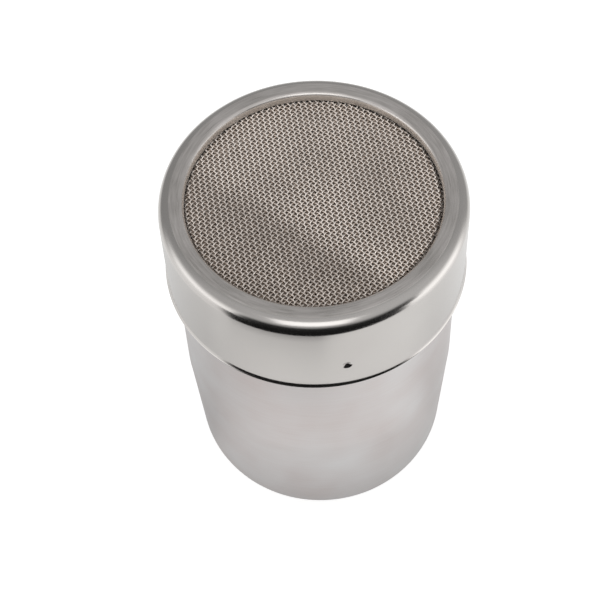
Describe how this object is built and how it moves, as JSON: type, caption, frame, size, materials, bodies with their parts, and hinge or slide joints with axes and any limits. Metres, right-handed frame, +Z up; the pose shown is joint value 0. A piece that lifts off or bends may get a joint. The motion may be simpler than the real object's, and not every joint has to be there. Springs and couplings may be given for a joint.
{
  "type": "mesh-top spice shaker",
  "caption": "Round steel shaker: a drawn cup and a lift-off, turn-to-lock lid with a woven wire mesh top held by a clamp ring.",
  "frame": {"origin": "centre of the cup's flat base, on the surface it stands on", "axes": "+Z up along the shaker's axis, -Y to the front, +X to the right as seen from the front"},
  "size_m": [0.0708, 0.0708, 0.098],
  "materials": {
    "satin_steel": "satin, spun round the cup",
    "polished_steel": "polished skirt and shoulder, fine brushing round the top ring",
    "wire_cloth": "drawn bright wire in a plain weave",
    "ring_steel": "plain mill finish, hidden under the lid"
  },
  "bodies": {
    "cup": {"cup": "satin_steel"},
    "lid_lift": {"clamp_ring": "ring_steel"},
    "lid_turn": {"lid_shell": "polished_steel", "mesh_screen": "wire_cloth"}
  },
  "joints": [
    {"name": "lid_lift", "type": "slide", "parent": "cup", "child": "lid_lift", "axis": [0, 0, 1], "range_m": [0, 0.04]},
    {"name": "lid_twist", "type": "hinge", "parent": "lid_lift", "child": "lid_turn", "pos_m": [0, 0, 0.08], "axis": [0, 0, -1], "range_deg": [0, 25]}
  ]
}
